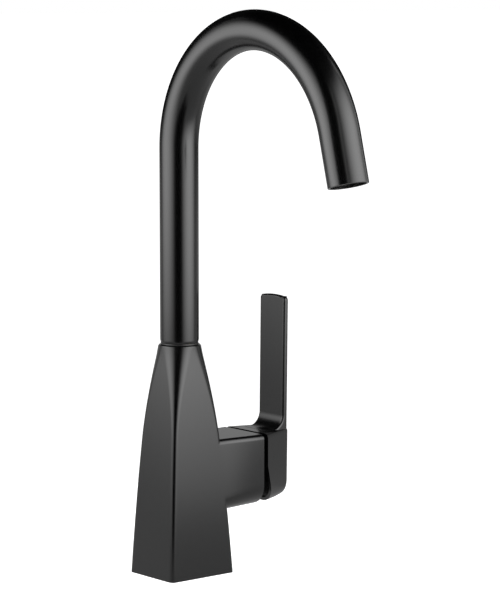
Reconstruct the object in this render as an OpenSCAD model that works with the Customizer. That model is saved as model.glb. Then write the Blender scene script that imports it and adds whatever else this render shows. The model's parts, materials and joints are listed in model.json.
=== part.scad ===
// Gooseneck bar faucet: a square foot that tapers to a round neck, a swivelling
// gooseneck spout and a blade handle on a side block. Millimetres, +Z up. The origin
// is on the deck, under the spout's axis. The spout points to -Y, the handle to +X.

/* [Body] */
// Width of the foot, left to right
base_w = 52.2; // [50:0.2:60]
// Spout axis to the front of the foot
base_front = 24.7; // [23.5:0.1:29]
// Spout axis to the rear of the foot
base_rear = 20.9; // [20.5:0.1:25]
// Height of the body's top face above the deck
body_h = 151.2; // [148:0.2:182]
// Diameter of the round neck at the top of the body
neck_d = 27.6; // [27.2:0.1:29]

/* [Spout] */
// Outside diameter of the tube
tube_d = 25.4; // [25:0.1:26.4]
// Wall of the tube
tube_wall = 1.5; // [1.2:0.1:2]
// Height of the spout's outer top above the deck
spout_h = 368.4; // [310:0.2:440]
// Bend radius of the rear half of the arch
rear_bend_r = 76.8; // [60:0.2:95]
// Bend radius of the front half of the arch
front_bend_r = 82; // [60:0.2:100]
// Angle that the front half of the arch turns through
front_bend_a = 75.4; // [60:0.1:90]
// Straight length before the outlet
tail_l = 31; // [24:0.5:45]

/* [Handle] */
// Height of the handle's axis above the deck
handle_z = 64.3; // [61:0.1:70]
// Spout axis to the outer end of the side block
block_end = 53.6; // [52:0.2:58]
// Width of the side block at its outer end
block_w = 44; // [42:0.2:50]
// Height of the side block
block_h = 47.6; // [45:0.2:52]
// Gap between the side block and the handle
handle_gap = 3.4; // [2.8:0.1:4.5]
// Length of the handle's hub
hub_l = 24.6; // [23:0.2:32]
// Width of the blade
blade_w = 24.6; // [20:0.2:30]
// Thickness of the blade
blade_t = 3.8; // [3:0.1:5]
// Height of the blade's top above the deck
blade_top = 178; // [140:0.2:215]

/* [Cartridge] */
// Outside diameter of the cartridge
cartridge_d = 28; // [27.4:0.1:28.4]
// Handle's tilt from shut to full flow
lift_max = 18; // [10:1:18]

/* [Hidden] */
$fn = 48;
eps = 0.01;

// fits: radial clearances
turn_fit = 0.05;    // between parts that turn on each other
slip_fit = 0.1;     // between parts put together and left
hole_fit = 0.3;     // round what passes through a hole without being held

// colours
black = "#2b2b2c";
brass = "#b08d4b";
steel = "#b9bcc0";
rubber = "#1c1c1e";
plastic = "#e4e2da";
ceramic = "#f2f0ea";

// body skin
neck_r = neck_d / 2;
foot_corner_r = 2.5;
corner_grow_z = 0.6;        // share of the height where the corners start to open
crown_r = 0.9;              // rounding of the body's top edge
skin_rings = 36;
corner_steps = 8;
block_rings = 14;
block_half = block_w / 2;
block_root = 6;             // how deep the side block's inner end lies in the body
flush_gap = 0.02;           // how far its sides lie inside the body's faces there

// inside of the body
core_d = 29.6;
core_bore_d = core_d + 2 * slip_fit;
flange_d = 36;
flange_bore_d = flange_d + 2 * slip_fit;
flange_h = 13;
core_rise = 3.5;            // from the cartridge to the core's shoulder
core_top = handle_z + cartridge_d / 2 + core_rise;
core_screw_r = 16;
core_screw_d = 2.5;
core_screw_bite = 6.5;
screw_head_d = 3.6;
screw_head_h = 2.4;
screw_head_z = 0.4;
screw_hex_d = 2;
stud_hole_r = 10.6;
stud_hole_d = 5;
stud_hole_l = 16;
inlet_thread_d = 9.2;
inlet_thread_l = 12;
riser_d = 6.2;
collar_d = 22;
collar_bore_d = collar_d + 2 * slip_fit;
top_lip = 3.6;
collar_gap = 0.2;
collar_top = body_h - top_lip - collar_gap;
passage_d = 8;
passage_y = 7;
passage_x = -3;
gasket_t = 2.4;
gasket_w = 1.8;
gasket_d = 40.4;

// swivel
shank_d = 18;
shank_bore_d = shank_d + 2 * turn_fit;
shank_bore_l = 38;
shank_l = 36;
shank_bottom = collar_top - shank_l;
shank_hole_d = 11;
glide_t = 1.2;
tube_z = body_h + glide_t;
tube_bore_d = tube_d - 2 * tube_wall;
plug_l = 20;
o_ring_t = 2.2;
o_ring_gap = 9;
lock_z = collar_top - 9;
lock_d = 5;
lock_groove_w = 5.6;
lock_groove_t = 1.6;

// gooseneck
apex_z = spout_h - tube_d / 2;
bend_z = apex_z - rear_bend_r;
front_centre_z = apex_z - front_bend_r;
outlet_lean = 90 - front_bend_a;
tail_lap = 0.05;            // how far the straight tail stands proud of the bend, all round
tail_bore_d = tube_bore_d - 2 * tail_lap;

// aerator, measured up the tube from the rim
bush_wall = 1.55;
aerator_d = tail_bore_d - 2 * slip_fit - 2 * bush_wall;
bush_z = 1.4;
bush_l = 13;
aerator_z = 2.2;
aerator_l = 10;
aerator_step = 2;
screen_t = 0.6;
aerator_bore_d = aerator_d - 6;
straightener_d = aerator_d - 3;
hole_edge = 2.4;            // from the outer row's centres to the edge
hole_pitch = (straightener_d / 2 - hole_edge) / 2;
hole_d = hole_pitch / 1.4;

// places along the handle's axis, as distances from the spout's axis
seat_x = 8;
base_t = 4;
disc_x = seat_x + base_t;
disc_t = 3.5;
slide_x = disc_x + disc_t;
slide_t = 3;
carrier_x = slide_x + slide_t;
carrier_t = 5.5;
guide_x = carrier_x + 12.5;
guide_t = 9;
pin_x = guide_x + 5;
lip_x = guide_x + guide_t + 0.3;
lip_t = 3.7;
housing_end = lip_x + lip_t;
guide_end = housing_end + 1.7;
nut_l = 7;
nut_rim = 2.5;              // how far the nut reaches past the cartridge, outwards
nut_grip = 1.7;             // and inwards
nut_d = cartridge_d + 2 * nut_rim;
nut_hole_d = cartridge_d - 2 * nut_grip;
ring_x = block_end - 2.2;
mouth_rim = 1.5;
ring_w = 4.5;
ring_d = nut_d + 2 * mouth_rim;
ring_hole_d = ring_d - 2 * ring_w;
hub_x = block_end + handle_gap;
hub_end = hub_x + hub_l;

// cartridge
housing_wall = 1.95;
housing_bore_d = cartridge_d - 2 * housing_wall;
guide_d = housing_bore_d - 2 * turn_fit;
lip_w = 2.05;
disc_room = 0.35;
nose_d = housing_bore_d - 2 * lip_w;
fixed_disc_d = housing_bore_d - 2 * disc_room;
slide_room = 3.05;          // round the moving disc, for its travel
slide_d = housing_bore_d - 2 * slide_room;
wing_t = 2;
wing_y = guide_d / 2 - wing_t;
carrier_fit = 0.2;
carrier_half = wing_y - wing_t / 2 - carrier_fit;
port_d = 5.2;
port_y = 5.6;
port_z = -4.2;
outlet_port_z = 6.2;
seal_d = port_d + 2.8;
seal_t = 1.2;
mix_d = 11;
mix_t = 1.4;
stem_w = 8;
ball_d = 7;
ball_x = pin_x - 8.5;
pin_d = 3;
slot_w = stem_w + 0.4;
slot_half = stem_w / 2 + 0.4;
stem_end = hub_end - 6.5;

// handle
block_low_r = 13.5;
block_top_r = 2.6;
block_top = handle_z + block_h / 2;
block_low = handle_z - block_h / 2;
relief_z = handle_z + 2.5;
relief_spare_a = 3.4;       // part of the tilt that the gap alone gives room for
relief_a = lift_max - relief_spare_a;
end_rise = 3.8;             // of the hub's underside, to its outer end
end_low = block_low + end_rise;
end_round = 3;              // rounding of the underside into the outer end
end_low_r = 8.5;
end_top_r = 1.6;
blade_lean = 0.7;
blade_low_x = hub_end - blade_t;
blade_fillet = 9.5;
crown_rise = 1.2;
boss_d = 17;
cavity_step = 1;
cavity_d = ring_d - 2 * cavity_step;
cavity_x = hub_x + 7;
inner_cavity_d = 25;
inner_cavity_x = hub_x + 10;
adapter_d = 12.4;
adapter_x = hub_x + 5;
screw_x = hub_end - 12;
screw_d = 4;
plug_d = 6;
plug_half = 1.6;
screw_sink = 0.9;           // from the plug up to the set screw

// ---- shapes ----

// puts its children on the handle's axis: their z is the distance from the spout's axis
module on_handle_axis() translate([0, 0, handle_z]) rotate([0, 90, 0]) children();

// puts its children on the outlet's axis: their z runs up the tube from the rim
module at_outlet() translate([0, -rear_bend_r, front_centre_z]) rotate([-outlet_lean, 0, 0])
    translate([0, -front_bend_r, -tail_l]) children();

module ring(outer_d, inner_d, t, z = 0) translate([0, 0, z]) linear_extrude(t) difference() {
    circle(d = outer_d);
    circle(d = inner_d);
}

module rod(d, from_z, to_z) translate([0, 0, from_z]) cylinder(d = d, h = to_z - from_z);

// share of the foot's flare that is left at height z, 1 at the deck and 0 at the neck
function flare(z) = let (u = z / body_h, q = 1 - 0.697 * u - 0.338 * u * u)
    (q + sqrt(q * q + 0.0025)) / 2;
function corner_r(z) = let (u = max(0, (z / body_h - corner_grow_z) / (1 - corner_grow_z)))
    min(neck_r, foot_corner_r + (neck_r - foot_corner_r) * pow(u, 1.7) * 1.02);
function half_w(z) = neck_r + (base_w / 2 - neck_r) * flare(z);
function front_y(z) = neck_r + (base_front - neck_r) * flare(z);
function rear_y(z) = neck_r + (base_rear - neck_r) * flare(z);

// outline of a rectangle with rounded corners, from -x_half to x_half, -front to rear
function corner(cx, cy, r, a0) = [for (i = [0:corner_steps])
    let (a = a0 + 90 * i / corner_steps) [cx + r * cos(a), cy + r * sin(a)]];
function outline(x_half, front, rear, r) = concat(
    corner(x_half - r, rear - r, r, 0), corner(-x_half + r, rear - r, r, 90),
    corner(-x_half + r, -front + r, r, 180), corner(x_half - r, -front + r, r, 270));
function skin_z(i) = (body_h - crown_r) * i / skin_rings;
function skin_outline(i) = let (z = skin_z(i))
    outline(half_w(z), front_y(z), rear_y(z), min(corner_r(z), rear_y(z), front_y(z)) - eps);

// solid through a list of closed rings that all have the same number of points
module loft(rings) {
    n = len(rings[0]);
    last = len(rings) - 1;
    points = [for (ring = rings) each ring];
    sides = [for (k = [0:last - 1]) each [for (i = [0:n - 1])
        let (a = k * n + i, b = k * n + (i + 1) % n) each [[a, a + n, b], [b, a + n, b + n]]]];
    polyhedron(points = points, convexity = 4,
        faces = concat([[for (i = [0:n - 1]) i]], sides, [[for (i = [n - 1:-1:0]) last * n + i]]));
}

// ---- body ----

module tapered_body() {
    loft([for (i = [0:skin_rings]) let (z = skin_z(i)) [for (p = skin_outline(i)) [p.x, p.y, z]]]);
    translate([0, 0, body_h - crown_r - eps])
        cylinder(r1 = neck_r, r2 = neck_r - crown_r, h = crown_r + eps);
}

// section of the side block at its outer end, as a list of [y, z]
block_outline = concat(
    corner(block_half - block_top_r, block_top - block_top_r, block_top_r, 0),
    corner(-block_half + block_top_r, block_top - block_top_r, block_top_r, 90),
    corner(-block_half + block_low_r, block_low + block_low_r, block_low_r, 180),
    corner(block_half - block_low_r, block_low + block_low_r, block_low_r, 270));

// the block's sides are flush with the body's where it leaves them and widen to its end
function widen(u) = u * u * (3 - 2 * u);
function flush(p) = ((p[0] < 0 ? front_y(p[1]) : rear_y(p[1])) - flush_gap) / block_half;
function block_point(x, p) = let (from_x = half_w(p[1]) - foot_corner_r,
    share = widen(max(0, min(1, (x - from_x) / (block_end - from_x)))))
    [x, p[0] * (flush(p) + (1 - flush(p)) * share), p[1]];
module side_block() {
    start_x = half_w(block_top) - block_root;
    loft([for (i = [0:block_rings]) let (x = start_x + (block_end - start_x) * i / block_rings)
        [for (p = block_outline) block_point(x, p)]]);
}

module body_shell() color(black) difference() {
    union() {
        tapered_body();
        side_block();
    }
    rod(flange_bore_d, -eps, flange_h);
    rod(core_bore_d, 0, core_top + hole_fit);
    rod(collar_bore_d, core_top, collar_top + collar_gap);
    rod(shank_d + 2 * hole_fit, collar_top, body_h + 1);
    translate([0, 0, -eps]) ring(gasket_d, gasket_d - 2 * gasket_w, gasket_t + eps);
    on_handle_axis() {
        rod(cartridge_d + 2 * slip_fit, 0, block_end);
        rod(nut_d, housing_end - eps, block_end);
        rod(ring_d, ring_x, block_end + 1);
    }
    translate([0, 0, lock_z]) rotate([-90, 0, 0]) rod(lock_d + 2 * hole_fit, 0, neck_d);
    at_core_screws() rod(core_screw_d, 0, flange_h + core_screw_bite + hole_fit);
}

module deck_gasket() color(rubber) ring(gasket_d, gasket_d - 2 * gasket_w, gasket_t);

// turned core that carries the water, the cartridge's seat and the swivel's bore
module waterway_core() color(brass) difference() {
    union() {
        rod(flange_d, 0, flange_h);
        rod(core_d, 0, core_top);
        rod(collar_d, core_top - eps, collar_top);
    }
    // flat for the cartridge
    translate([seat_x, -core_d, handle_z - cartridge_d / 2 - 4 * slip_fit])
        cube([core_d, 2 * core_d, cartridge_d + 8 * slip_fit]);
    for (s = [-1, 1]) {
        translate([passage_x, s * passage_y, 0]) {
            rod(passage_d, -eps, handle_z + port_z);
            rod(inlet_thread_d, -eps, inlet_thread_l);
        }
        translate([0, s * port_y, handle_z + port_z]) rotate([0, 90, 0]) rod(port_d, passage_x, seat_x + 1);
        translate([s * stud_hole_r, 0, 0]) rod(stud_hole_d, -eps, stud_hole_l);
    }
    at_core_screws() {
        rod(core_screw_d + 2 * slip_fit, -eps, flange_h + core_screw_bite + 1);
        rod(screw_head_d + 2 * slip_fit, -eps, screw_head_z + screw_head_h);
    }
    translate([0, 0, handle_z + outlet_port_z]) rotate([0, 90, 0]) rod(port_d, 0, seat_x + 1);
    rod(riser_d, handle_z + outlet_port_z - 2, core_top);
    rod(shank_hole_d, core_top - 4, collar_top - shank_bore_l + eps);
    rod(shank_bore_d, collar_top - shank_bore_l, collar_top + 1);
    translate([0, 0, lock_z]) rotate([-90, 0, 0]) rod(lock_d, 0, neck_d);
}

module at_core_screws() for (s = [-1, 1]) translate([s * core_screw_r, 0, 0]) children();

module core_screws() color(steel) at_core_screws() difference() {
    union() {
        rod(screw_head_d, screw_head_z, screw_head_z + screw_head_h);
        rod(core_screw_d, screw_head_z + screw_head_h - eps, flange_h + core_screw_bite);
    }
    cylinder(d = screw_hex_d, h = screw_head_z + 1.4, $fn = 6);
}

module glide_ring() color(black) ring(tube_d - 0.6, shank_d + 0.5, glide_t, body_h);

module spout_lock_screw() color(steel)
    translate([0, 0, lock_z]) rotate([-90, 0, 0]) difference() {
        union() {
            rod(lock_d, shank_d / 2 + 0.1, neck_r - 2.2);
            rod(3, shank_d / 2 - 1.2, shank_d / 2 + 0.2);
        }
        translate([0, 0, neck_r - 4.2]) cylinder(d = 2.9, h = 3, $fn = 6);
    }

// ---- cartridge ----

// the three ports, as places in the cartridge's plane
ports = [[-port_z, port_y], [-port_z, -port_y], [-outlet_port_z, 0]];
module at_ports() for (p = ports) translate([p.x, p.y, 0]) children();

module cartridge_base() color(plastic) on_handle_axis() difference() {
    rod(cartridge_d, seat_x, disc_x);
    at_ports() {
        rod(port_d, seat_x - 1, disc_x + 1);
        rod(seal_d, seat_x - eps, seat_x + seal_t);
        rod(seal_d, disc_x - seal_t, disc_x + eps);
    }
}

module port_seals() color(rubber) on_handle_axis()
    at_ports() ring(seal_d, port_d, seal_t, seat_x);

module disc_seals() color(rubber) on_handle_axis()
    at_ports() ring(seal_d, port_d, seal_t, disc_x - seal_t);

module cartridge_housing() color(plastic) on_handle_axis() difference() {
    rod(cartridge_d, disc_x, housing_end);
    rod(housing_bore_d, disc_x - eps, lip_x);
    rod(nose_d + 2 * turn_fit, disc_x, housing_end + 1);
}

module fixed_disc() color(ceramic) on_handle_axis() difference() {
    rod(fixed_disc_d, disc_x, slide_x);
    at_ports() rod(port_d, disc_x - 1, slide_x + 1);
}

module moving_disc() color(ceramic) on_handle_axis() difference() {
    rod(slide_d, slide_x, carrier_x);
    rod(mix_d, slide_x - eps, slide_x + mix_t);
}

module disc_carrier() color(plastic) on_handle_axis() difference() {
    union() {
        rod(slide_d, carrier_x, carrier_x + carrier_t);
        translate([-4.5, -carrier_half, carrier_x + carrier_t - eps]) cube([9, 2 * carrier_half, 5]);
    }
    rod(ball_d + 2 * slip_fit, ball_x - ball_d / 2 - 0.2, guide_x);
}

module turn_guide() color(plastic) on_handle_axis() difference() {
    union() {
        rod(guide_d, guide_x, guide_x + guide_t);
        rod(nose_d, guide_x, guide_end);
        for (s = [-1, 1]) translate([-4, s * wing_y - wing_t / 2, carrier_x + carrier_t + hole_fit])
            cube([8, wing_t, guide_x - carrier_x - carrier_t]);
    }
    // slot for the tilting stem, wider on the side that it tilts to
    rotate([90, 0, 0]) linear_extrude(slot_w, center = true) polygon([
        [-slot_half - 1, guide_x - 1], [slot_half, guide_x - 1], [slot_half, pin_x],
        [slot_half + (guide_end + 1 - pin_x) * tan(lift_max) + 0.4, guide_end + 1],
        [-slot_half, guide_end + 1], [-slot_half - 1, pin_x]]);
    translate([0, guide_d, pin_x]) rotate([90, 0, 0]) cylinder(d = pin_d, h = 2 * guide_d);
}

module lever_pin() color(steel) on_handle_axis() translate([0, 0, pin_x]) rotate([-90, 0, 0])
    rod(pin_d, -guide_d / 2 + 0.6, guide_d / 2 - 0.6);

module lever_stem() color(brass) on_handle_axis() difference() {
    union() {
        translate([0, 0, ball_x]) sphere(d = ball_d);
        rod(5, ball_x, pin_x - 3);
        translate([-stem_w / 2, -stem_w / 2, pin_x - 4]) cube([stem_w, stem_w, stem_end - pin_x + 4]);
    }
    translate([0, stem_w, pin_x]) rotate([90, 0, 0]) cylinder(d = pin_d + 2 * turn_fit, h = 2 * stem_w);
}

module retaining_nut() color(brass) on_handle_axis() difference() {
    rod(nut_d - 2 * slip_fit, housing_end, housing_end + nut_l);
    rod(nut_hole_d, housing_end - 1, housing_end + nut_l + 1);
    for (a = [0:90:270]) rotate(a) translate([nut_hole_d / 2 - 1, -1.5, housing_end + nut_l - 2])
        cube([3.2, 3, 3]);
}

module trim_ring() color(black) on_handle_axis() difference() {
    union() {
        rod(ring_d - 2 * slip_fit, ring_x, block_end - 0.2);
        translate([0, 0, block_end - 0.2 - eps])
            cylinder(r1 = ring_d / 2 - 1.5, r2 = ring_hole_d / 2 + 1, h = 1.8);
    }
    rod(ring_hole_d, ring_x - 1, block_end + 4);
}

// ---- handle ----

// rounded section of the hub, extruded by a thin slice at the place x
module hub_slice(x, w, low, low_r, top_r) translate([x, 0, 0]) rotate([90, 0, 90])
    linear_extrude(eps) hull() {
        for (s = [-1, 1]) {
            translate([s * (w / 2 - low_r), low + low_r]) circle(r = low_r, $fn = 32);
            translate([s * (w / 2 - top_r), block_top - top_r]) circle(r = top_r, $fn = 32);
        }
    }

// the hub narrows to the blade's width while its underside rises and rounds off at the end
module hub() hull() for (u = [0, 0.35, 0.65, 0.88, 0.97, 1]) let (end = max(0, (u - 0.88) / 0.12))
    hub_slice(hub_x + (hub_l - eps) * u, block_w + (blade_w - block_w) * u,
              block_low + end_rise * u * u + end_round * (1 - sqrt(1 - end * end)),
              block_low_r + (end_low_r - block_low_r) * u, block_top_r + (end_top_r - block_top_r) * u);

// blade as a side view along Z, leaning outwards by a small angle, with an arched top
module blade() {
    arch_r = (pow(blade_w / 2, 2) + crown_rise * crown_rise) / (2 * crown_rise);
    translate([blade_low_x, 0, block_top - 4]) rotate([0, blade_lean, 0]) intersection() {
        translate([0, -blade_w / 2, 0]) cube([blade_t, blade_w, blade_top - block_top + 4]);
        translate([-1, 0, blade_top - block_top + 4 - arch_r]) rotate([0, 90, 0])
            cylinder(r = arch_r, h = blade_t + 2, $fn = 160);
    }
}

// inside corner between the blade and the hub's top
module root_fillet() difference() {
    translate([blade_low_x - blade_fillet, -blade_w / 2, block_top - 1])
        cube([blade_fillet + 1.5, blade_w, blade_fillet + 1]);
    translate([blade_low_x - blade_fillet, blade_w, block_top + blade_fillet]) rotate([90, 0, 0])
        cylinder(r = blade_fillet, h = 2 * blade_w, $fn = 64);
    translate([blade_low_x - 2 * blade_fillet, -blade_w, block_top + blade_fillet])
        cube([2 * blade_fillet + 4, 2 * blade_w, blade_fillet]);
}

module lever_handle() color(black) difference() {
    union() {
        difference() {
            hub();
            on_handle_axis() {
                rod(cavity_d, hub_x - 1, cavity_x);
                rod(inner_cavity_d, hub_x - 1, inner_cavity_x);
            }
        }
        on_handle_axis() rod(boss_d, adapter_x - 0.4, inner_cavity_x + 1);
        blade();
        root_fillet();
    }
    // relief below the axis that lets the handle tilt
    translate([hub_x, 0, relief_z]) rotate([0, -relief_a, 0]) translate([-hub_l, -block_w, -block_h])
        cube([hub_l, 2 * block_w, block_h]);
    on_handle_axis() rod(adapter_d, adapter_x - 1, stem_end + 0.2);
    translate([screw_x, 0, 0]) {
        rod(screw_d, block_low - 5, handle_z);
        rod(plug_d, block_low - 5, end_low + plug_half);
    }
}

module stem_adapter() color(rubber) difference() {
    on_handle_axis() rod(adapter_d, adapter_x, stem_end);
    translate([adapter_x - 1, -stem_w / 2, handle_z - stem_w / 2]) cube([hub_l, stem_w, stem_w]);
    translate([screw_x, 0, 0]) rod(screw_d, block_low, handle_z);
}

module handle_set_screw() color(steel) translate([screw_x, 0, 0]) difference() {
    rod(screw_d, end_low + plug_half + screw_sink, handle_z - stem_w / 2);
    translate([0, 0, end_low + plug_half]) cylinder(d = 2.3, h = screw_sink + 2.5, $fn = 6);
}

module handle_plug() color(black) translate([screw_x, 0, 0]) rod(plug_d, end_low - plug_half, end_low + plug_half);

// ---- spout ----

// cross-section of the tube
module tube_section() difference() {
    circle(d = tube_d);
    circle(d = tube_bore_d);
}

// a bend of the tube in the spout's plane, from angle a0 over the angle a
module bend(r, a0, a) rotate([90, 0, 90]) rotate([0, 0, a0]) rotate_extrude(angle = a)
    translate([r, 0]) tube_section();

module spout_tube() color(black) {
    rotate(90) ring(tube_d, tube_bore_d, bend_z - tube_z, tube_z);
    translate([0, -rear_bend_r, bend_z]) bend(rear_bend_r, 0, 90);
    translate([0, -rear_bend_r, front_centre_z]) bend(front_bend_r, 90, front_bend_a);
    at_outlet() rotate(-90) ring(tube_d + 2 * tail_lap, tail_bore_d, tail_l + tail_lap);
}

module spout_shank() color(brass) difference() {
    union() {
        rod(tube_bore_d - 2 * slip_fit, tube_z, tube_z + plug_l);
        rod(shank_d, shank_bottom, tube_z + 1);
    }
    rod(shank_hole_d, shank_bottom - 1, tube_z + plug_l + 1);
    for (i = [0:1])
        ring(shank_d + 1, shank_d - 2 * o_ring_t - 0.1, o_ring_t + 0.4,
             shank_bottom + 4 + i * o_ring_gap);
    ring(shank_d + 1, shank_d - 2 * lock_groove_t, lock_groove_w, lock_z - lock_groove_w / 2);
}

module shank_o_rings() color(rubber) for (i = [0:1])
    translate([0, 0, shank_bottom + 4.2 + o_ring_t / 2 + i * o_ring_gap]) rotate_extrude()
        translate([shank_d / 2 - o_ring_t / 2, 0]) circle(d = o_ring_t, $fn = 24);

module outlet_bush() color(black) at_outlet()
    ring(tail_bore_d - 2 * slip_fit, aerator_d, bush_l, bush_z);

module aerator_body() color(black) at_outlet() difference() {
    rod(aerator_d, aerator_z, aerator_z + aerator_l);
    rod(straightener_d, aerator_z - 1, aerator_z + aerator_l - aerator_step);
    rod(aerator_bore_d, aerator_z - 1, aerator_z + aerator_l + 1);
}

module flow_straightener() color(plastic) at_outlet() difference() {
    rod(straightener_d, aerator_z + 1, aerator_z + aerator_l - aerator_step);
    translate([0, 0, aerator_z]) cylinder(d = hole_d, h = aerator_l, $fn = 16);
    for (row = [1, 2]) for (k = [0:6 * row - 1]) rotate(k * 60 / row)
        translate([row * hole_pitch, 0, aerator_z]) cylinder(d = hole_d, h = aerator_l, $fn = 16);
}

module aerator_screen() color(steel) at_outlet()
    ring(aerator_bore_d - 2 * slip_fit, hole_d, screen_t, aerator_z + aerator_l - aerator_step + hole_fit);

module aerator_seal() color(rubber) at_outlet() ring(aerator_d, aerator_d - 5, 1.6, aerator_z + aerator_l);

body_shell();
deck_gasket();
waterway_core();
core_screws();
glide_ring();
spout_lock_screw();
cartridge_base();
port_seals();
disc_seals();
cartridge_housing();
fixed_disc();
retaining_nut();
trim_ring();
spout_tube();
spout_shank();
shank_o_rings();
outlet_bush();
aerator_body();
flow_straightener();
aerator_screen();
aerator_seal();
turn_guide();
lever_pin();
moving_disc();
disc_carrier();
lever_stem();
stem_adapter();
lever_handle();
handle_set_screw();
handle_plug();
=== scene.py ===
# Looks of the gooseneck bar faucet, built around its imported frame. Metres, +Z up.
import json
from math import atan2, cos, pi, radians, sin, sqrt

import bmesh
import bpy
from bpy.props import FloatProperty, FloatVectorProperty, PointerProperty
from mathutils import Matrix, Vector


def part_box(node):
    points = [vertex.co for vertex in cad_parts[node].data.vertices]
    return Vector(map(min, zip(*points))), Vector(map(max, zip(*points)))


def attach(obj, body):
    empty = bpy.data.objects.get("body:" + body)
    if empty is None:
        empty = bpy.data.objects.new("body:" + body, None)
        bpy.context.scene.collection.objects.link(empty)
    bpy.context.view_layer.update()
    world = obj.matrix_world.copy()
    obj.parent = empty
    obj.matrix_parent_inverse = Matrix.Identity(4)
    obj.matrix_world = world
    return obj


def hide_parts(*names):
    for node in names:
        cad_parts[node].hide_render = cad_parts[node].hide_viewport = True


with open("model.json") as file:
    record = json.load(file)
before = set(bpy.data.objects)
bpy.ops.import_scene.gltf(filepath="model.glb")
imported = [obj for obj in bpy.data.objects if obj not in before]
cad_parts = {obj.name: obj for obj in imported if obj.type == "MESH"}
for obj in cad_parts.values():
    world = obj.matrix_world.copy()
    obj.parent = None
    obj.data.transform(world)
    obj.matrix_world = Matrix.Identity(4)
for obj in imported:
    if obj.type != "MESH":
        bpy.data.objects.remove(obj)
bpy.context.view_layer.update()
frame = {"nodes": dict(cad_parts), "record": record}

bl_info = {
    "name": "Gooseneck Bar Faucet",
    "version": (1, 0, 0),
    "blender": (4, 5, 0),
    "location": "View3D > Sidebar > Faucet",
    "description": "Builds the visible skins, finishes and studio of a gooseneck bar faucet",
    "category": "Object",
}

MM = 0.001
AXIS_X = (1, 0, 0)
AXIS_Z = (0, 0, 1)
MERGE = 0.002 * MM      # points this close are one point
OVER = 1 * MM           # how far a cutting tool starts outside the face that it cuts
ROUND = 96              # sides of a full circle
SHARP = radians(50)     # edges that turn by more than this are rounded off
shell_low, shell_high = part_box("body_shell")
tube_low, tube_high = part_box("spout_tube")
handle_low, handle_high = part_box("lever_handle")
glide_low, glide_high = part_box("glide_ring")


def length(name, description, default):
    return FloatProperty(name=name, description=description, default=default, unit="LENGTH", precision=5)


def turn(name, description, default):
    return FloatProperty(name=name, description=description, default=radians(default), unit="ROTATION")


def colour(name, description, default):
    return FloatVectorProperty(name=name, description=description, default=default, subtype="COLOR",
                               size=3, min=0, max=1)


def share(name, description, default):
    return FloatProperty(name=name, description=description, default=default, subtype="FACTOR", min=0, max=1)


def number(name, description, default):
    return FloatProperty(name=name, description=description, default=default, subtype="UNSIGNED", precision=4)


class BodySizes(bpy.types.PropertyGroup):
    foot_half_w: length("Foot half width", "Spout axis to the side of the foot", -shell_low.x)
    foot_front: length("Foot front", "Spout axis to the front of the foot", -shell_low.y)
    foot_rear: length("Foot rear", "Spout axis to the rear of the foot", 20.9 * MM)
    height: length("Height", "Height of the body's top face", shell_high.z)
    neck_r: length("Neck radius", "Radius of the round neck", 13.8 * MM)
    flare_slope: number("Flare slope", "Share of the flare that is lost with the height", 0.697)
    flare_curve: number("Flare curve", "Share of the flare that is lost with the height squared", 0.338)
    flare_soft: number("Flare softness", "How softly the flare runs out into the neck", 0.0025)
    corner_r: length("Corner radius", "Radius of the foot's upright corners", 3.2 * MM)
    corner_start: share("Corner start", "Share of the height where the corners start to open", 0.6)
    corner_power: number("Corner power", "How late the corners open into the round neck", 1.7)
    crown_r: length("Crown radius", "Rounding of the body's top edge", 0.9 * MM)
    crown_sink: length("Crown sink", "How far the crown reaches down into the tapered part", 0.3 * MM)
    ease: length("Edge ease", "Small rounding of the body's other edges", 0.35 * MM)
    block_end: length("Block end", "Spout axis to the end of the side block", shell_high.x)
    block_half_w: length("Block half width", "Half of the side block's width at its end", shell_high.y)
    block_h: length("Block height", "Height of the side block", 47.6 * MM)
    block_low_r: length("Block lower radius", "Rounding of the block's lower edges", 13.5 * MM)
    block_root_r: length("Block root radius", "Rounding of the block's lower edges at the body", 8.0 * MM)
    block_top_r: length("Block upper radius", "Rounding of the block's upper edges", 3.4 * MM)
    axis_z: length("Handle axis", "Height of the handle's axis", 64.3 * MM)
    block_sink: length("Block sink", "How deep the block starts inside the body's face", 6.0 * MM)
    flush_gap: length("Flush gap", "How far the block's sides lie inside the body's faces", 0.02 * MM)
    cavity_r: length("Cavity radius", "Radius of the cartridge's cavity", 14.1 * MM)
    cavity_end: length("Cavity end", "Spout axis to the end of the cartridge's cavity", 50.0 * MM)
    nut_room_r: length("Nut room radius", "Radius of the room for the nut", 16.5 * MM)
    nut_room_x: length("Nut room start", "Spout axis to the start of the room for the nut", 44.0 * MM)
    mouth_r: length("Mouth radius", "Radius of the block's mouth", 18.0 * MM)
    mouth_x: length("Mouth start", "Spout axis to the start of the block's mouth", 51.4 * MM)
    foot_hole_r: length("Foot hole radius", "Radius of the hole in the foot", 18.1 * MM)
    foot_hole_h: length("Foot hole height", "Height of the hole in the foot", 13.0 * MM)
    core_r: length("Core radius", "Radius of the hole for the core", 14.9 * MM)
    core_h: length("Core height", "Height of the hole for the core", 82.1 * MM)
    shank_r: length("Shank hole radius", "Radius of the hole round the spout's shank", 11.1 * MM)
    shank_h: length("Shank hole height", "Height of the hole round the spout's shank", 147.6 * MM)
    neck_hole_r: length("Neck hole radius", "Radius of the hole in the body's top", 9.3 * MM)
    lock_z: length("Lock screw height", "Height of the spout's lock screw", 138.4 * MM)
    lock_hole_r: length("Lock hole radius", "Radius of the lock screw's hole at the back", 2.8 * MM)


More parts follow.
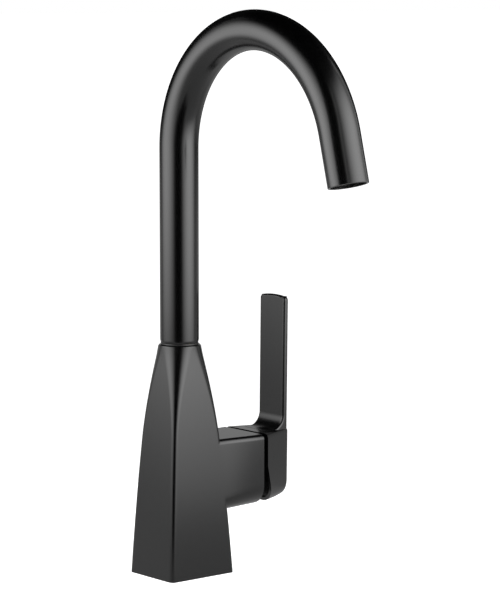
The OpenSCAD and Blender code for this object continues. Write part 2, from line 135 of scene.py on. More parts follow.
class SpoutSizes(bpy.types.PropertyGroup):
    tube_r: length("Tube radius", "Outside radius of the tube", 12.7 * MM)
    wall: length("Wall", "Wall of the tube", 1.5 * MM)
    foot_z: length("Foot height", "Height of the tube's lower end", tube_low.z)
    foot_gap: length("Foot gap", "Clearance under the tube's lower end", 0.02 * MM)
    foot_taper: length("Foot taper", "How far the tube's lower end draws in", 0.5 * MM)
    foot_taper_h: length("Foot taper height", "Height of the drawn-in end", 2.0 * MM)
    top_z: length("Top height", "Height of the spout's outer top", tube_high.z)
    rear_r: length("Rear bend radius", "Bend radius of the rear half of the arch", 76.8 * MM)
    front_r: length("Front bend radius", "Bend radius of the front half of the arch", 82.0 * MM)
    front_a: turn("Front bend angle", "Angle that the front half turns through", 75.4)
    tail: length("Tail", "Straight length before the outlet", 31.6 * MM)
    ease: length("Edge ease", "Small rounding of the tube's edges", 0.3 * MM)
    ring_wall: length("Ring wall", "Wall of the thin ring under the tube", 3.0 * MM)
    ring_ease: length("Ring ease", "Small rounding of the thin ring's edges", 0.35 * MM)


class HandleSizes(bpy.types.PropertyGroup):
    hub_x: length("Hub face", "Spout axis to the hub's inner face", handle_low.x)
    hub_end: length("Hub end", "Spout axis to the hub's outer end", 81.6 * MM)
    turn_in: share("Turn-in", "Share of the hub's length where its underside turns into the end", 0.88)
    end_rise: length("End rise", "How far the underside rises to the outer end", 3.8 * MM)
    end_round: length("End rounding", "Rounding of the underside into the outer end", 3.0 * MM)
    end_low_r: length("End lower radius", "Rounding of the lower edges at the outer end", 5.5 * MM)
    end_lean: turn("End lean", "Angle that the hub's outer end draws in by towards its underside", 0.9)
    end_top_r: length("End upper radius", "Rounding of the upper edges at the outer end", 1.6 * MM)
    blade_w: length("Blade width", "Width of the blade", 25.8 * MM)
    blade_t: length("Blade thickness", "Thickness of the blade", 3.8 * MM)
    blade_top: length("Blade top", "Height of the blade's top", handle_high.z)
    blade_lean: turn("Blade lean", "Angle that the blade leans out by", 0.7)
    crown_rise: length("Crown rise", "Rise of the blade's arched top", 1.2 * MM)
    corner_r: length("Blade corner radius", "Rounding of the blade's upper corners", 2.2 * MM)
    root_r: length("Root radius", "Inside radius between the blade and the hub", 9.5 * MM)
    root_sink: length("Root sink", "How deep the blade's root reaches into the hub", 3.0 * MM)
    edge_r: length("Edge radius", "Rounding of the blade's edges", 1.5 * MM)
    ease: length("Edge ease", "Small rounding of the handle's other edges", 0.3 * MM)
    hub_wall: length("Hub wall", "Wall of the hub round its hollow", 2.2 * MM)
    pocket_depth: length("Pocket depth", "Depth of the hub's hollow under the axis", 8.55 * MM)
    room_r: length("Nut clearance radius", "Radius of the hub's room round the nut", 17.0 * MM)
    room_depth: length("Nut clearance depth", "Depth of the hub's room round the nut", 7.0 * MM)
    stem_room_r: length("Stem room radius", "Radius of the hub's inner room", 12.5 * MM)
    stem_room_depth: length("Stem room depth", "Depth of the hub's inner room", 10.0 * MM)
    boss_r: length("Boss radius", "Radius of the boss that holds the stem", 8.5 * MM)
    boss_start: length("Boss start", "Hub's face to the boss", 4.6 * MM)
    boss_l: length("Boss length", "Length of the boss", 6.4 * MM)
    stem_hole_r: length("Stem hole radius", "Radius of the hole for the stem", 6.2 * MM)
    stem_hole_start: length("Stem hole start", "Hub's face to the hole for the stem", 4.0 * MM)
    stem_hole_l: length("Stem hole length", "Length of the hole for the stem", 14.3 * MM)
    screw_inset: length("Screw inset", "Hub's outer end to the set screw", 12.0 * MM)
    plug_r: length("Plug hole radius", "Radius of the plug's hole in the underside", 3.0 * MM)
    plug_z: length("Plug hole top", "Height where the plug's hole ends", 45.9 * MM)
    screw_r: length("Screw hole radius", "Radius of the set screw's hole", 2.0 * MM)
    screw_z: length("Screw hole top", "Height where the set screw's hole ends", 62.0 * MM)
    relief_z: length("Relief height", "Height where the hub's relief starts", 66.8 * MM)
    relief_a: turn("Relief angle", "Slope of the hub's relief", 14.6)


class Finishes(bpy.types.PropertyGroup):
    coat: colour("Coat", "Satin black coat", (0.0009, 0.0009, 0.0010))
    coat_rough: share("Coat roughness", "Roughness of the satin coat", 0.22)
    plastic: colour("Black plastic", "Moulded black plastic", (0.010, 0.010, 0.010))
    white: colour("White plastic", "Moulded white plastic", (0.70, 0.68, 0.62))
    brass: colour("Brass", "Turned brass", (0.62, 0.43, 0.17))
    steel: colour("Steel", "Brushed stainless steel", (0.50, 0.51, 0.53))
    rubber: colour("Rubber", "Moulded rubber", (0.012, 0.012, 0.013))
    ceramic: colour("Ceramic", "Lapped ceramic", (0.82, 0.80, 0.76))


class StageSizes(bpy.types.PropertyGroup):
    azimuth: turn("Azimuth", "Camera's direction round the faucet, 0 along +Y", -39.691)
    elevation: turn("Elevation", "Camera's height angle", 6.780)
    camera_at: FloatVectorProperty(name="Camera place", description="Where the camera stands", size=3,
                                   default=(-1.03462, -1.31847, 0.38139), subtype="TRANSLATION", precision=5)
    lens: number("Lens", "Focal length in millimetres", 157.49)
    world_level: number("World light", "Level of the world's light", 0.4)
    floor_size: length("Floor", "Width of the floor", 60.0)
    panel_r: length("Panel radius", "Distance of the softboxes from the spout's axis", 0.55)
    panel_h: length("Panel height", "Height of the softboxes and of the ceiling", 1.0)
    card_r: length("Card radius", "Distance of the cards from the spout's axis", 0.32)
    card_h: length("Card height", "Height of the cards", 0.7)
    ceiling_r: length("Ceiling radius", "Radius of the dark ceiling", 0.75)
    left_level: number("Left light", "Level of the left softbox", 4.6)
    right_level: number("Right light", "Level of the right softbox", 5.2)
    rear_level: number("Rear card", "Level of the rear card at the floor", 0.48)


# ---- mesh helpers ----

def link_mesh(bm, name):
    """Writes the bmesh to a new object in the scene."""
    mesh = bpy.data.meshes.new(name)
    bm.to_mesh(mesh)
    bm.free()
    obj = bpy.data.objects.new(name, mesh)
    bpy.context.scene.collection.objects.link(obj)
    return obj


def object_from(bm, name, body=None, slot=None, *nodes):
    """Cleaned object of the bmesh; one with a body rides on it and stands for the CAD nodes."""
    bmesh.ops.remove_doubles(bm, verts=bm.verts, dist=MERGE)
    bmesh.ops.recalc_face_normals(bm, faces=bm.faces)
    obj = link_mesh(bm, name)
    if body:
        obj.data.materials.append(bpy.data.materials[slot])
        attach(obj, body)
        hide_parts(*nodes)
    return obj


def rounded_face(bm, corners, radii, corner_steps):
    """Flat face whose corners are rounded, each by its own radius."""
    verts = [bm.verts.new(c) for c in corners]
    bm.faces.new(verts)
    for vert, radius in zip(verts, radii):
        made = round_off(bm, [vert], radius, corner_steps, "VERTICES")
    return made["verts"][0].link_faces[0]


def loft(bm, sections, corner_steps):
    """Skin through flat sections, each given as its corners and their radii."""
    loops = []
    for i, (corners, radii) in enumerate(sections):
        face = rounded_face(bm, corners, radii, corner_steps)
        loops.append(face.edges[:])
        if 0 < i < len(sections) - 1:
            bmesh.ops.delete(bm, geom=[face], context="FACES_ONLY")
    for low, high in zip(loops, loops[1:]):
        bmesh.ops.bridge_loops(bm, edges=low + high)


def grown_verts(geom):
    return [g for g in geom if isinstance(g, bmesh.types.BMVert)]


def grown_edges(geom):
    return [g for g in geom if isinstance(g, bmesh.types.BMEdge)]


def grown_faces(geom):
    return [g for g in geom if isinstance(g, bmesh.types.BMFace)]


def round_off(bm, geom, radius, steps, affect="EDGES"):
    """Rounds edges or corners off by a radius."""
    return bmesh.ops.bevel(bm, geom=geom, offset=radius, offset_type="OFFSET", segments=steps, profile=0.5,
                           affect=affect, material=-1)


def add_modifier(obj, kind, **values):
    modifier = obj.modifiers.new(kind.title(), kind)
    for key, value in values.items():
        setattr(modifier, key, value)


def ease_edges(obj, width, segments=3):
    """Small rounding on every sharp edge."""
    add_modifier(obj, "BEVEL", width=width, segments=segments, limit_method="ANGLE", angle_limit=SHARP)


def cut(obj, tool, operation="DIFFERENCE"):
    """Cuts or joins the tool with the object at once, and removes the tool."""
    add_modifier(obj, "BOOLEAN", operation=operation, object=tool, solver="EXACT")
    bake_modifiers(obj)
    bpy.data.objects.remove(tool)


def bake_modifiers(obj):
    depsgraph = bpy.context.evaluated_depsgraph_get()
    mesh = bpy.data.meshes.new_from_object(obj.evaluated_get(depsgraph))
    obj.modifiers.clear()
    obj.data = mesh


def smooth(obj, sharp_from):
    """Smooth shading that keeps the edges above an angle in degrees sharp."""
    for polygon in obj.data.polygons:
        polygon.use_smooth = True
    obj.data.set_sharp_from_angle(angle=radians(sharp_from))
    add_modifier(obj, "WEIGHTED_NORMAL", keep_sharp=True, weight=50)


def cylinder(radius, depth, matrix, sides=ROUND):
    """Plain rod along the matrix's z-axis, a tool for cut."""
    bm = bmesh.new()
    bmesh.ops.create_cone(bm, cap_ends=True, segments=sides, radius1=radius, radius2=radius, depth=depth)
    bmesh.ops.translate(bm, verts=bm.verts, vec=(0, 0, depth / 2))
    bmesh.ops.transform(bm, matrix=matrix, verts=bm.verts)
    return object_from(bm, "rod")


def on_handle_axis(x):
    """Places a z-axis shape on the handle's axis, starting at x."""
    sizes = bpy.context.scene.faucet_body
    return Matrix.Translation((x, 0, sizes.axis_z)) @ Matrix.Rotation(pi / 2, 4, "Y")


# ---- the body ----

def flare(s, z):
    """Share of the foot's flare that is left at height z."""
    u = z / s.height
    left = 1 - s.flare_slope * u - s.flare_curve * u * u
    return (left + sqrt(left * left + s.flare_soft)) / 2


def body_half(s, at_foot, z):
    """Distance of a face from the spout's axis at height z, from its distance at the foot."""
    return s.neck_r + (at_foot - s.neck_r) * flare(s, z)


def corner_radius(s, z):
    """Corners keep their radius low down and open into the round neck above."""
    opened = max(0, (z / s.height - s.corner_start) / (1 - s.corner_start)) ** s.corner_power
    past_round = 1.02
    return min(s.neck_r, s.corner_r + (s.neck_r - s.corner_r) * opened * past_round)


def body_section(s, z):
    x = body_half(s, s.foot_half_w, z)
    front = body_half(s, s.foot_front, z)
    rear = body_half(s, s.foot_rear, z)
    least_flat = 0.02 * MM
    radius = min(corner_radius(s, z), x - least_flat, rear - least_flat)
    corners = [(x, rear, z), (-x, rear, z), (-x, -front, z), (x, -front, z)]
    return corners, [radius] * 4


class FAUCET_OT_body(bpy.types.Operator):
    """Tapered body with its side block, opened for the cartridge"""
    bl_idname = "faucet.body"
    bl_label = "Body"

    def execute(self, context):
        s = context.scene.faucet_body
        rings = 60
        bm = bmesh.new()
        top = s.height - s.crown_r
        loft(bm, [body_section(s, top * i / rings) for i in range(rings + 1)], corner_steps=12)
        body = object_from(bm, "body_skin", "body", "black_coat", "body_shell")
        cut(body, crown_piece(s, top), "UNION")
        cut(body, side_block(s), "UNION")
        outside = s.block_end + OVER
        for radius, near, far in ((s.cavity_r, 0, s.cavity_end), (s.nut_room_r, s.nut_room_x, outside),
                                  (s.mouth_r, s.mouth_x, outside)):
            cut(body, cylinder(radius, far - near, on_handle_axis(near)))
        for radius, high in ((s.foot_hole_r, s.foot_hole_h), (s.core_r, s.core_h), (s.shank_r, s.shank_h),
                             (s.neck_hole_r, s.height + OVER)):
            cut(body, cylinder(radius, high + OVER, Matrix.Translation((0, 0, -OVER))))
        rearwards = Matrix.Translation((0, 0, s.lock_z)) @ Matrix.Rotation(-pi / 2, 4, "X")
        cut(body, cylinder(s.lock_hole_r, s.foot_rear + OVER, rearwards))
        ease_edges(body, s.ease)
        smooth(body, sharp_from=30)
        return {"FINISHED"}


def crown_piece(s, top):
    """Round disc with a rounded upper edge that closes the body's neck."""
    z, radius = top - s.crown_sink, s.neck_r
    bm = bmesh.new()
    bmesh.ops.create_circle(bm, cap_ends=True, segments=ROUND, radius=radius)
    bmesh.ops.translate(bm, verts=bm.verts, vec=(0, 0, z))
    face = bm.faces[:]
    steps = 6
    for i in range(steps + 1):
        a = pi / 2 * i / steps
        geom = bmesh.ops.extrude_face_region(bm, geom=face)["geom"]
        verts = grown_verts(geom)
        bmesh.ops.delete(bm, geom=face, context="FACES_ONLY")
        face = grown_faces(geom)
        new_z = top + s.crown_r * sin(a) - MERGE
        new_radius = s.neck_r - s.crown_r * (1 - cos(a))
        bmesh.ops.translate(bm, verts=verts, vec=(0, 0, new_z - z))
        bmesh.ops.scale(bm, verts=verts, vec=(new_radius / radius, new_radius / radius, 1))
        z, radius = new_z, new_radius
    bmesh.ops.holes_fill(bm, edges=[e for e in bm.edges if e.is_boundary], sides=0)
    return object_from(bm, "crown")


def side_block(s):
    """Block that flows out of the body's faces and ends as an upright rounded rectangle."""
    top = s.axis_z + s.block_h / 2
    low = s.axis_z - s.block_h / 2
    start = body_half(s, s.foot_half_w, top) - s.block_sink
    w = s.block_half_w
    steps = 24
    sections = []
    for i in range(steps + 1):
        x = start + (s.block_end - start) * i / steps
        corners = [(x, w, top), (x, -w, top), (x, -w, low), (x, w, low)]
        low_r = s.block_root_r + (s.block_low_r - s.block_root_r) * i / steps
        sections.append((corners, [s.block_top_r, s.block_top_r, low_r, low_r]))
    bm = bmesh.new()
    loft(bm, sections, corner_steps=12)
    upright = [e for e in bm.edges if abs(e.verts[0].co.z - e.verts[1].co.z) > s.block_h / 3]
    bmesh.ops.subdivide_edges(bm, edges=upright, cuts=12)
    for v in bm.verts:
        x, y, z = v.co
        flush = (body_half(s, s.foot_front if y < 0 else s.foot_rear, z) - s.flush_gap) / w
        begin = body_half(s, s.foot_half_w, z) - s.corner_r
        u = min(1, max(0, (x - begin) / (s.block_end - begin)))
        u = u * u * (3 - 2 * u)
        v.co.y = y * (flush + (1 - flush) * u)
    return object_from(bm, "side_block")


# ---- the spout ----

class FAUCET_OT_spout(bpy.types.Operator):
    """Gooseneck tube and the thin ring under it"""
    bl_idname = "faucet.spout"
    bl_label = "Spout"

    def execute(self, context):
        s = context.scene.faucet_spout
        apex = s.top_z - s.tube_r
        bend_z = apex - s.rear_r
        front_z = apex - s.front_r
        lean = pi / 2 - s.front_a
        small = s.tube_r - s.foot_taper
        bm = bmesh.new()
        bmesh.ops.create_circle(bm, segments=ROUND, radius=small)
        bmesh.ops.translate(bm, verts=bm.verts, vec=(0, 0, s.foot_z + s.foot_gap))
        edges = bm.edges[:]
        edges = extend(bm, edges, (0, 0, s.foot_taper_h - s.foot_gap), s.tube_r / small)
        parts = 6
        for part in range(parts):
            edges = extend(bm, edges, (0, 0, (bend_z - s.foot_z - s.foot_taper_h) / parts))
        edges = bent(bm, edges, (0, -s.rear_r, bend_z), pi / 2, steps=60)
        edges = bent(bm, edges, (0, -s.rear_r, front_z), s.front_a, steps=52)
        down = Vector((0, -sin(lean), -cos(lean)))
        parts = 3
        for part in range(parts):
            edges = extend(bm, edges, down * s.tail / parts)
        tube = object_from(bm, "spout_skin", "spout", "black_coat", "spout_tube")
        add_modifier(tube, "SOLIDIFY", thickness=s.wall, offset=-1, use_even_offset=True)
        ease_edges(tube, s.ease)
        smooth(tube, sharp_from=35)

        bm = bmesh.new()
        bmesh.ops.create_circle(bm, segments=ROUND, radius=glide_high.x)
        bmesh.ops.translate(bm, verts=bm.verts, vec=(0, 0, glide_low.z))
        extend(bm, bm.edges[:], (0, 0, glide_high.z - glide_low.z))
        ring = object_from(bm, "glide_ring_skin", "body", "black_plastic", "glide_ring")
        add_modifier(ring, "SOLIDIFY", thickness=s.ring_wall, offset=-1)
        ease_edges(ring, s.ring_ease, segments=4)
        smooth(ring, sharp_from=35)
        return {"FINISHED"}


def extend(bm, edges, vec, scale=1.0):
    """Extrudes a ring of edges along vec and returns the new ring."""
    geom = bmesh.ops.extrude_edge_only(bm, edges=edges)["geom"]
    bmesh.ops.scale(bm, verts=grown_verts(geom), vec=(scale, scale, 1))
    bmesh.ops.translate(bm, verts=grown_verts(geom), vec=vec)
    return grown_edges(geom)


def bent(bm, edges, centre, angle, steps):
    """Spins a ring of edges about an axis along X and returns the last ring."""
    return grown_edges(bmesh.ops.spin(bm, geom=edges, cent=centre, axis=AXIS_X, angle=angle, steps=steps,
                                      use_merge=False, use_duplicate=False)["geom_last"])


# ---- the handle ----

class FAUCET_OT_handle(bpy.types.Operator):
    """Hub and blade of the handle"""
    bl_idname = "faucet.handle"
    bl_label = "Handle"

    def execute(self, context):
        s = context.scene.faucet_handle
        b = context.scene.faucet_body
        top = b.axis_z + b.block_h / 2
        hub_l = s.hub_end - s.hub_x
        steps, end_steps = 12, 8
        shares = [s.turn_in * i / steps for i in range(steps)]
        shares += [s.turn_in + (1 - s.turn_in) * sin(pi / 2 * i / end_steps) for i in range(end_steps + 1)]
        bm = bmesh.new()
        loft(bm, [hub_section(s, b, u) for u in shares], corner_steps=10)
        for v in bm.verts:
            v.co.x -= (top - v.co.z) * sin(s.end_lean) * (v.co.x - s.hub_x) / hub_l
        hub = object_from(bm, "handle_skin", "lever", "black_coat", "lever_handle")
        cut(hub, pocket(s, b))
        cut(hub, blade(s, top), "UNION")
        for radius, depth in ((s.room_r, s.room_depth), (s.stem_room_r, s.stem_room_depth)):
            cut(hub, cylinder(radius, depth + OVER, on_handle_axis(s.hub_x - OVER)))
        cut(hub, cylinder(s.boss_r, s.boss_l, on_handle_axis(s.hub_x + s.boss_start)), "UNION")
        cut(hub, cylinder(s.stem_hole_r, s.stem_hole_l, on_handle_axis(s.hub_x + s.stem_hole_start)))
        cut(hub, relief(s, b))
        below = Matrix.Translation((s.hub_end - s.screw_inset, 0, b.axis_z - b.block_h / 2 - OVER))
        for radius, high in ((s.plug_r, s.plug_z), (s.screw_r, s.screw_z)):
            cut(hub, cylinder(radius, high - below.translation.z, below, sides=ROUND // 2))
        ease_edges(hub, s.ease)
        smooth(hub, sharp_from=30)
        return {"FINISHED"}


def hub_section(s, b, u, inset=0):
    """Section of the hub at share u of its length, drawn in by the inset."""
    x = s.hub_x + (s.hub_end - s.hub_x) * u
    end = max(0, (u - s.turn_in) / (1 - s.turn_in))
    turned_up = s.end_round * (1 - sqrt(max(0, 1 - end * end)))
    half = b.block_half_w + (s.blade_w / 2 - b.block_half_w) * u - inset
    top = b.axis_z + b.block_h / 2 - inset
    low = b.axis_z - b.block_h / 2 + s.end_rise * u * u + turned_up + inset
    corners = [(x, half, top), (x, -half, top), (x, -half, low), (x, half, low)]
    least_r = 0.4 * MM
    low_r = b.block_low_r + (s.end_low_r - b.block_low_r) * u - inset
    top_r = max(least_r, b.block_top_r + (s.end_top_r - b.block_top_r) * u - inset)
    return corners, [top_r, top_r, low_r, low_r]


def pocket(s, b):
    """Hollow of the hub under the handle's axis, inside the hub's wall."""
    hub_l = s.hub_end - s.hub_x
    steps, over = 4, 0.95 * MM
    shares = [((s.pocket_depth + over) * i / steps - over) / hub_l for i in range(steps + 1)]
    bm = bmesh.new()
    loft(bm, [hub_section(s, b, u, s.hub_wall) for u in shares], corner_steps=10)
    bmesh.ops.bisect_plane(bm, geom=bm.verts[:] + bm.edges[:] + bm.faces[:], plane_co=(0, 0, b.axis_z),
                           plane_no=AXIS_Z, clear_outer=True)
    bmesh.ops.holes_fill(bm, edges=[e for e in bm.edges if e.is_boundary], sides=0)
    return object_from(bm, "pocket")


def blade(s, top):
    """Blade with its rounded edges and the fillet at its root."""
    inner = s.hub_end - s.blade_t
    root = inner - 1.5 * s.root_r       # past the fillet
    deep = top - s.root_sink
    half = s.blade_w / 2
    outline = [(s.hub_end, deep), (s.hub_end, s.blade_top), (inner, s.blade_top), (inner, top),
               (root, top), (root, deep)]
    bm = bmesh.new()
    side = [bm.verts.new((x, -half, z)) for x, z in outline]
    bm.faces.new(side)
    round_off(bm, [side[3]], s.root_r, 10, "VERTICES")
    face = bm.faces[:]
    parts = 12
    for i in range(parts):
        geom = bmesh.ops.extrude_face_region(bm, geom=face)["geom"]
        if i:
            bmesh.ops.delete(bm, geom=face, context="FACES_ONLY")
        face = grown_faces(geom)
        bmesh.ops.translate(bm, verts=grown_verts(geom), vec=(0, s.blade_w / parts, 0))
    for v in bm.verts:
        if v.co.z > s.blade_top - s.crown_rise / 2:
            v.co.z -= s.crown_rise * (v.co.y / half) ** 2
    lean = Matrix.Translation((inner, 0, top)) @ Matrix.Rotation(s.blade_lean, 4, "Y") @ \
        Matrix.Translation((-inner, 0, -top))
    bmesh.ops.transform(bm, matrix=lean, verts=bm.verts)
    near_top = s.blade_top - 2.5 * s.crown_rise
    top_ends = [e for e in bm.edges if all(abs(abs(v.co.y) - half) < MERGE for v in e.verts)
                and min(v.co.z for v in e.verts) > near_top]
    round_off(bm, top_ends, s.corner_r, 6)
    sharp = [e for e in bm.edges if len(e.link_faces) == 2 and e.calc_face_angle(0) > SHARP]
    round_off(bm, sharp, s.edge_r, 4)
    return object_from(bm, "blade")


def relief(s, b):
    """Wedge below the axis that lets the handle tilt."""
    deep, wide, high = b.block_h / 2, b.block_half_w * 4, b.block_h * 1.25
    bm = bmesh.new()
    bmesh.ops.create_cube(bm, size=1)
    bmesh.ops.translate(bm, verts=bm.verts, vec=(-0.5, 0, -0.5))
    bmesh.ops.scale(bm, verts=bm.verts, vec=(deep, wide, high))
    bmesh.ops.rotate(bm, verts=bm.verts, cent=(0, 0, 0), matrix=Matrix.Rotation(-s.relief_a, 3, "Y"))
    bmesh.ops.translate(bm, verts=bm.verts, vec=(s.hub_x, 0, s.relief_z))
    return object_from(bm, "relief")


# ---- finishes ----

def finish_material(name, base, rough, metallic=0.0, grain=900.0, spread=0.08, rough_spread=0.03,
                    bump=0.05, stretch=(1, 1, 1)):
    """Procedural finish: a fine grain moves the colour and the roughness, and a finer one the surface."""
    material = bpy.data.materials.get(name) or bpy.data.materials.new(name)
    material.use_nodes = True
    nodes, links = material.node_tree.nodes, material.node_tree.links
    nodes.clear()
    shader = nodes.new("ShaderNodeBsdfPrincipled")
    surface = nodes.new("ShaderNodeOutputMaterial")
    links.new(shader.outputs["BSDF"], surface.inputs["Surface"])
    shader.inputs["Metallic"].default_value = metallic
    shader.inputs["IOR"].default_value = 1.5
    place = nodes.new("ShaderNodeTexCoord")
    mapping = nodes.new("ShaderNodeMapping")
    mapping.inputs["Scale"].default_value = stretch
    links.new(place.outputs["Object"], mapping.inputs["Vector"])
    noise = nodes.new("ShaderNodeTexNoise")
    noise.inputs["Scale"].default_value = grain
    noise.inputs["Detail"].default_value = 4
    links.new(mapping.outputs["Vector"], noise.inputs["Vector"])
    ramp = nodes.new("ShaderNodeValToRGB")
    ramp.color_ramp.elements[0].position, ramp.color_ramp.elements[1].position = 0.3, 0.7
    ramp.color_ramp.elements[0].color = (*[c * (1 - spread) for c in base], 1)
    ramp.color_ramp.elements[1].color = (*[min(1, c * (1 + spread)) for c in base], 1)
    links.new(noise.outputs["Fac"], ramp.inputs["Fac"])
    links.new(ramp.outputs["Color"], shader.inputs["Base Color"])
    rough_range = nodes.new("ShaderNodeMapRange")
    rough_range.inputs["To Min"].default_value = rough - rough_spread
    rough_range.inputs["To Max"].default_value = rough + rough_spread
    links.new(noise.outputs["Fac"], rough_range.inputs["Value"])
    links.new(rough_range.outputs["Result"], shader.inputs["Roughness"])
    fine = nodes.new("ShaderNodeTexNoise")
    fine.inputs["Scale"].default_value = 2500
    fine.inputs["Detail"].default_value = 2
    links.new(mapping.outputs["Vector"], fine.inputs["Vector"])
    pits = nodes.new("ShaderNodeBump")
    pits.inputs["Strength"].default_value = bump
    pits.inputs["Distance"].default_value = 0.02 * MM
    links.new(fine.outputs["Fac"], pits.inputs["Height"])
    links.new(pits.outputs["Normal"], shader.inputs["Normal"])
    return material


class FAUCET_OT_finishes(bpy.types.Operator):
    """Materials of every slot, put on the CAD nodes"""
    bl_idname = "faucet.finishes"
    bl_label = "Finishes"

    def execute(self, context):
        f = context.scene.faucet_finishes
        finish_material("black_coat", f.coat, rough=f.coat_rough, grain=700, spread=0.25,
                        rough_spread=0.025, bump=0.12)
        finish_material("black_plastic", f.plastic, rough=0.42, grain=1500, bump=0.2)
        finish_material("white_plastic", f.white, rough=0.38, grain=800, spread=0.03, bump=0.1)
        finish_material("brass", f.brass, rough=0.28, metallic=1.0, grain=500, spread=0.1, bump=0.25,
                        stretch=(1, 1, 8))
        finish_material("stainless", f.steel, rough=0.3, metallic=1.0, grain=700, spread=0.1, bump=0.25,
                        stretch=(1, 6, 1))
        finish_material("rubber", f.rubber, rough=0.6, grain=1200, spread=0.15, bump=0.3)
        finish_material("ceramic", f.ceramic, rough=0.12, grain=600, spread=0.02, bump=0.02)
        slots = {row["node"]: row["material_slot"] for row in frame["record"]["subparts"]}
        for name, obj in frame["nodes"].items():
            obj.data.materials.clear()
            obj.data.materials.append(bpy.data.materials[slots[name]])
        return {"FINISHED"}


# ---- the studio ----

def plain_material(name, build):
    material = bpy.data.materials.new(name)
    material.use_nodes = True
    tree = material.node_tree
    tree.nodes.clear()
    out = tree.nodes.new("ShaderNodeOutputMaterial")
    tree.links.new(build(tree), out.inputs["Surface"])
    return material


def maths(tree, operation, first, second):
    """Math node on two values, each a number or a socket."""
    node = tree.nodes.new("ShaderNodeMath")
    node.operation = operation
    for slot, value in enumerate((first, second)):
        if isinstance(value, (int, float)):
            node.inputs[slot].default_value = value
        else:
            tree.links.new(value, node.inputs[slot])
    return node.outputs[0]


def height_ramp(tree, low_z, low, high_z, high):
    """Level that goes smoothly from low to high between two heights."""
    place = tree.nodes.new("ShaderNodeTexCoord")
    up = tree.nodes.new("ShaderNodeSeparateXYZ")
    tree.links.new(place.outputs["Object"], up.inputs["Vector"])
    rise = tree.nodes.new("ShaderNodeMapRange")
    rise.interpolation_type = "SMOOTHSTEP"
    for name, value in (("From Min", low_z), ("From Max", high_z), ("To Min", low), ("To Max", high)):
        rise.inputs[name].default_value = value
    tree.links.new(up.outputs["Z"], rise.inputs["Value"])
    return rise.outputs["Result"]


def emission(tree, level):
    glow = tree.nodes.new("ShaderNodeEmission")
    tree.links.new(level, glow.inputs["Strength"])
    return glow.outputs["Emission"]


def panel_glow(strength, at_floor, full_z, fall_z, dark_z):
    """Softbox glow that fades to the panel's two sides, its top and the floor."""
    def build(tree):
        place = tree.nodes.new("ShaderNodeTexCoord")
        across = tree.nodes.new("ShaderNodeSeparateXYZ")
        tree.links.new(place.outputs["UV"], across.inputs["Vector"])
        fade = maths(tree, "SINE", maths(tree, "MULTIPLY", across.outputs["X"], pi), 0)
        rise = height_ramp(tree, 0, at_floor * strength, full_z, strength)
        fall = height_ramp(tree, fall_z, 1, dark_z, 0)
        return emission(tree, maths(tree, "MULTIPLY", fade, maths(tree, "MULTIPLY", rise, fall)))
    return build


def card_glow(low, high):
    """Dim card whose level goes from low to high above the height of the handle's hub."""
    hub_z, neck_z = 0.18, 0.32
    return lambda tree: emission(tree, height_ramp(tree, hub_z, low, neck_z, high))


def seen_directly(tree, path):
    """1 on rays that show a surface as it is: camera, glossy and transmission rays."""
    both = maths(tree, "MAXIMUM", path.outputs["Is Camera Ray"], path.outputs["Is Glossy Ray"])
    return maths(tree, "MAXIMUM", both, path.outputs["Is Transmission Ray"])


def floor_surface(tree):
    """Pale floor: the camera sees it as white with a soft shadow, the coat mirrors it as grey."""
    paint, own_level, camera_level, mirrored_level = 0.8, 0.4, 0.5, 0.68
    path = tree.nodes.new("ShaderNodeLightPath")
    diffuse = tree.nodes.new("ShaderNodeBsdfDiffuse")
    diffuse.inputs["Color"].default_value = (paint, paint, paint, 1)
    own = maths(tree, "MULTIPLY", seen_directly(tree, path), own_level)
    extra = maths(tree, "MULTIPLY", path.outputs["Is Camera Ray"], camera_level)
    lit = tree.nodes.new("ShaderNodeAddShader")
    tree.links.new(diffuse.outputs[0], lit.inputs[0])
    tree.links.new(emission(tree, maths(tree, "ADD", own, extra)), lit.inputs[1])
    mirrored = tree.nodes.new("ShaderNodeEmission")
    mirrored.inputs["Strength"].default_value = mirrored_level
    mix = tree.nodes.new("ShaderNodeMixShader")
    tree.links.new(path.outputs["Is Glossy Ray"], mix.inputs["Fac"])
    tree.links.new(lit.outputs[0], mix.inputs[1])
    tree.links.new(mirrored.outputs[0], mix.inputs[2])
    return mix.outputs[0]


def stage_object(bm, name, material):
    obj = link_mesh(bm, name)
    obj.data.materials.append(material)
    return obj


def wall_arc(name, from_a, to_a, radius, high, material):
    """Upright wall round the faucet between two angles from +X in degrees; its UV runs across it."""
    start, span = radians(from_a), radians(to_a - from_a)
    floor_gap = 1 * MM
    bm = bmesh.new()
    across = bm.loops.layers.uv.new("across")
    ends = [bm.verts.new((radius * cos(start), radius * sin(start), z)) for z in (floor_gap, high)]
    bmesh.ops.spin(bm, geom=[bm.edges.new(ends)], cent=(0, 0, 0), axis=AXIS_Z, angle=span, steps=24,
                   use_merge=False, use_duplicate=False)
    for face in bm.faces:
        for loop in face.loops:
            turned = (atan2(loop.vert.co.y, loop.vert.co.x) - start) % (2 * pi)
            if turned > 1.5 * span:     # the start edge, read as a full turn
                turned = 0
            loop[across].uv = (turned / span, 0)
    stage_object(bm, name, material).visible_camera = False


class FAUCET_OT_stage(bpy.types.Operator):
    """Pale floor, soft studio light and the camera"""
    bl_idname = "faucet.stage"
    bl_label = "Stage"

    def execute(self, context):
        s = context.scene.faucet_stage
        bm = bmesh.new()
        bmesh.ops.create_grid(bm, x_segments=1, y_segments=1, size=s.floor_size / 2)
        stage_object(bm, "floor", plain_material("floor_white", floor_surface))
        light_walls(s)
        white_world(context.scene, s.world_level)
        set_camera(context.scene, s)
        context.scene.view_settings.view_transform = "Standard"
        return {"FINISHED"}


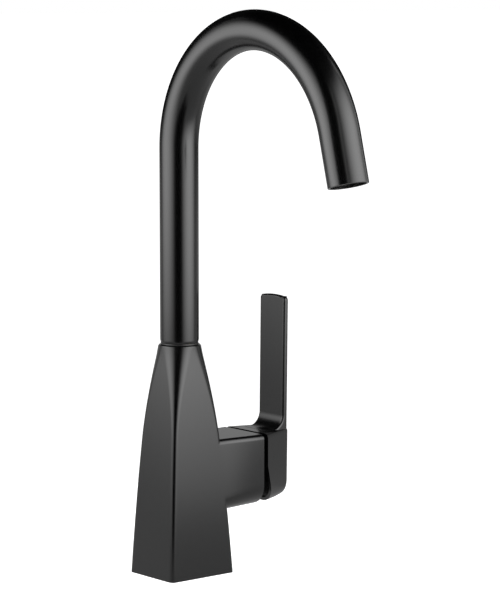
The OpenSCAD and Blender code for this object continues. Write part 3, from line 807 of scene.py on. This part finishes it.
def light_walls(s):
    """Two softboxes, the dark gap between them at the camera, the rear card and the ceiling."""
    left_a, front_a, right_a, rear_a = 110, 207, 246, 336
    left_glow = panel_glow(s.left_level, at_floor=0.27, full_z=0.25, fall_z=0.38, dark_z=0.85)
    right_glow = panel_glow(s.right_level, at_floor=0.42, full_z=0.2, fall_z=0.45, dark_z=1.0)
    left = plain_material("glow_left", left_glow)
    right = plain_material("glow_right", right_glow)
    dark = plain_material("card_dark", card_glow(low=0, high=0))
    grey = plain_material("card_grey", card_glow(low=s.rear_level, high=0.01))
    wall_arc("softbox_left", left_a, front_a, s.panel_r, s.panel_h, left)
    wall_arc("softbox_right", right_a, rear_a, s.panel_r, s.panel_h, right)
    wall_arc("card_front", front_a, right_a, s.card_r, s.card_h, dark)
    wall_arc("card_rear", rear_a - 360, left_a, s.card_r, s.card_h, grey)
    bm = bmesh.new()
    bmesh.ops.create_circle(bm, cap_ends=True, segments=48, radius=s.ceiling_r)
    bmesh.ops.translate(bm, verts=bm.verts, vec=(0, 0, s.panel_h))
    stage_object(bm, "ceiling", dark).visible_camera = False


def white_world(scene, level):
    """World that is seen as white and lights the rest at its own level."""
    world = bpy.data.worlds.new("studio")
    scene.world = world
    world.use_nodes = True
    tree = world.node_tree
    background = tree.nodes["Background"]
    background.inputs["Color"].default_value = (1, 1, 1, 1)
    seen = seen_directly(tree, tree.nodes.new("ShaderNodeLightPath"))
    strength = maths(tree, "ADD", maths(tree, "MULTIPLY", seen, 1 - level), level)
    tree.links.new(strength, background.inputs["Strength"])


def set_camera(scene, s):
    camera = bpy.data.cameras.new("camera")
    camera.lens = s.lens
    camera.sensor_width = 36
    camera.clip_end = 100
    eye = bpy.data.objects.new("camera", camera)
    scene.collection.objects.link(eye)
    eye.location = s.camera_at
    a, e = s.azimuth, s.elevation
    look = Vector((-sin(a) * cos(e), cos(a) * cos(e), -sin(e)))
    eye.rotation_mode = "QUATERNION"
    eye.rotation_quaternion = look.to_track_quat("-Z", "Y")
    scene.camera = eye


class FAUCET_PT_panel(bpy.types.Panel):
    """Lists the faucet's sizes and its operators"""
    bl_label = "Gooseneck Bar Faucet"
    bl_idname = "FAUCET_PT_panel"
    bl_space_type = "VIEW_3D"
    bl_region_type = "UI"
    bl_category = "Faucet"

    def draw(self, context):
        for operator in OPERATORS:
            self.layout.operator(operator.bl_idname)
        for group in GROUPS:
            box = self.layout.box()
            for name in GROUPS[group].__annotations__:
                box.prop(getattr(context.scene, group), name)


OPERATORS = (FAUCET_OT_finishes, FAUCET_OT_body, FAUCET_OT_spout, FAUCET_OT_handle, FAUCET_OT_stage)
GROUPS = {"faucet_body": BodySizes, "faucet_spout": SpoutSizes, "faucet_handle": HandleSizes,
          "faucet_finishes": Finishes, "faucet_stage": StageSizes}


def register():
    for cls in (*GROUPS.values(), *OPERATORS, FAUCET_PT_panel):
        bpy.utils.register_class(cls)
    for name, group in GROUPS.items():
        setattr(bpy.types.Scene, name, PointerProperty(type=group))


def unregister():
    for name in GROUPS:
        delattr(bpy.types.Scene, name)
    for cls in reversed((*GROUPS.values(), *OPERATORS, FAUCET_PT_panel)):
        bpy.utils.unregister_class(cls)


def main():
    register()
    bpy.ops.faucet.finishes()
    bpy.ops.faucet.body()
    bpy.ops.faucet.spout()
    bpy.ops.faucet.handle()
    bpy.ops.faucet.stage()


if __name__ == "__main__":
    main()
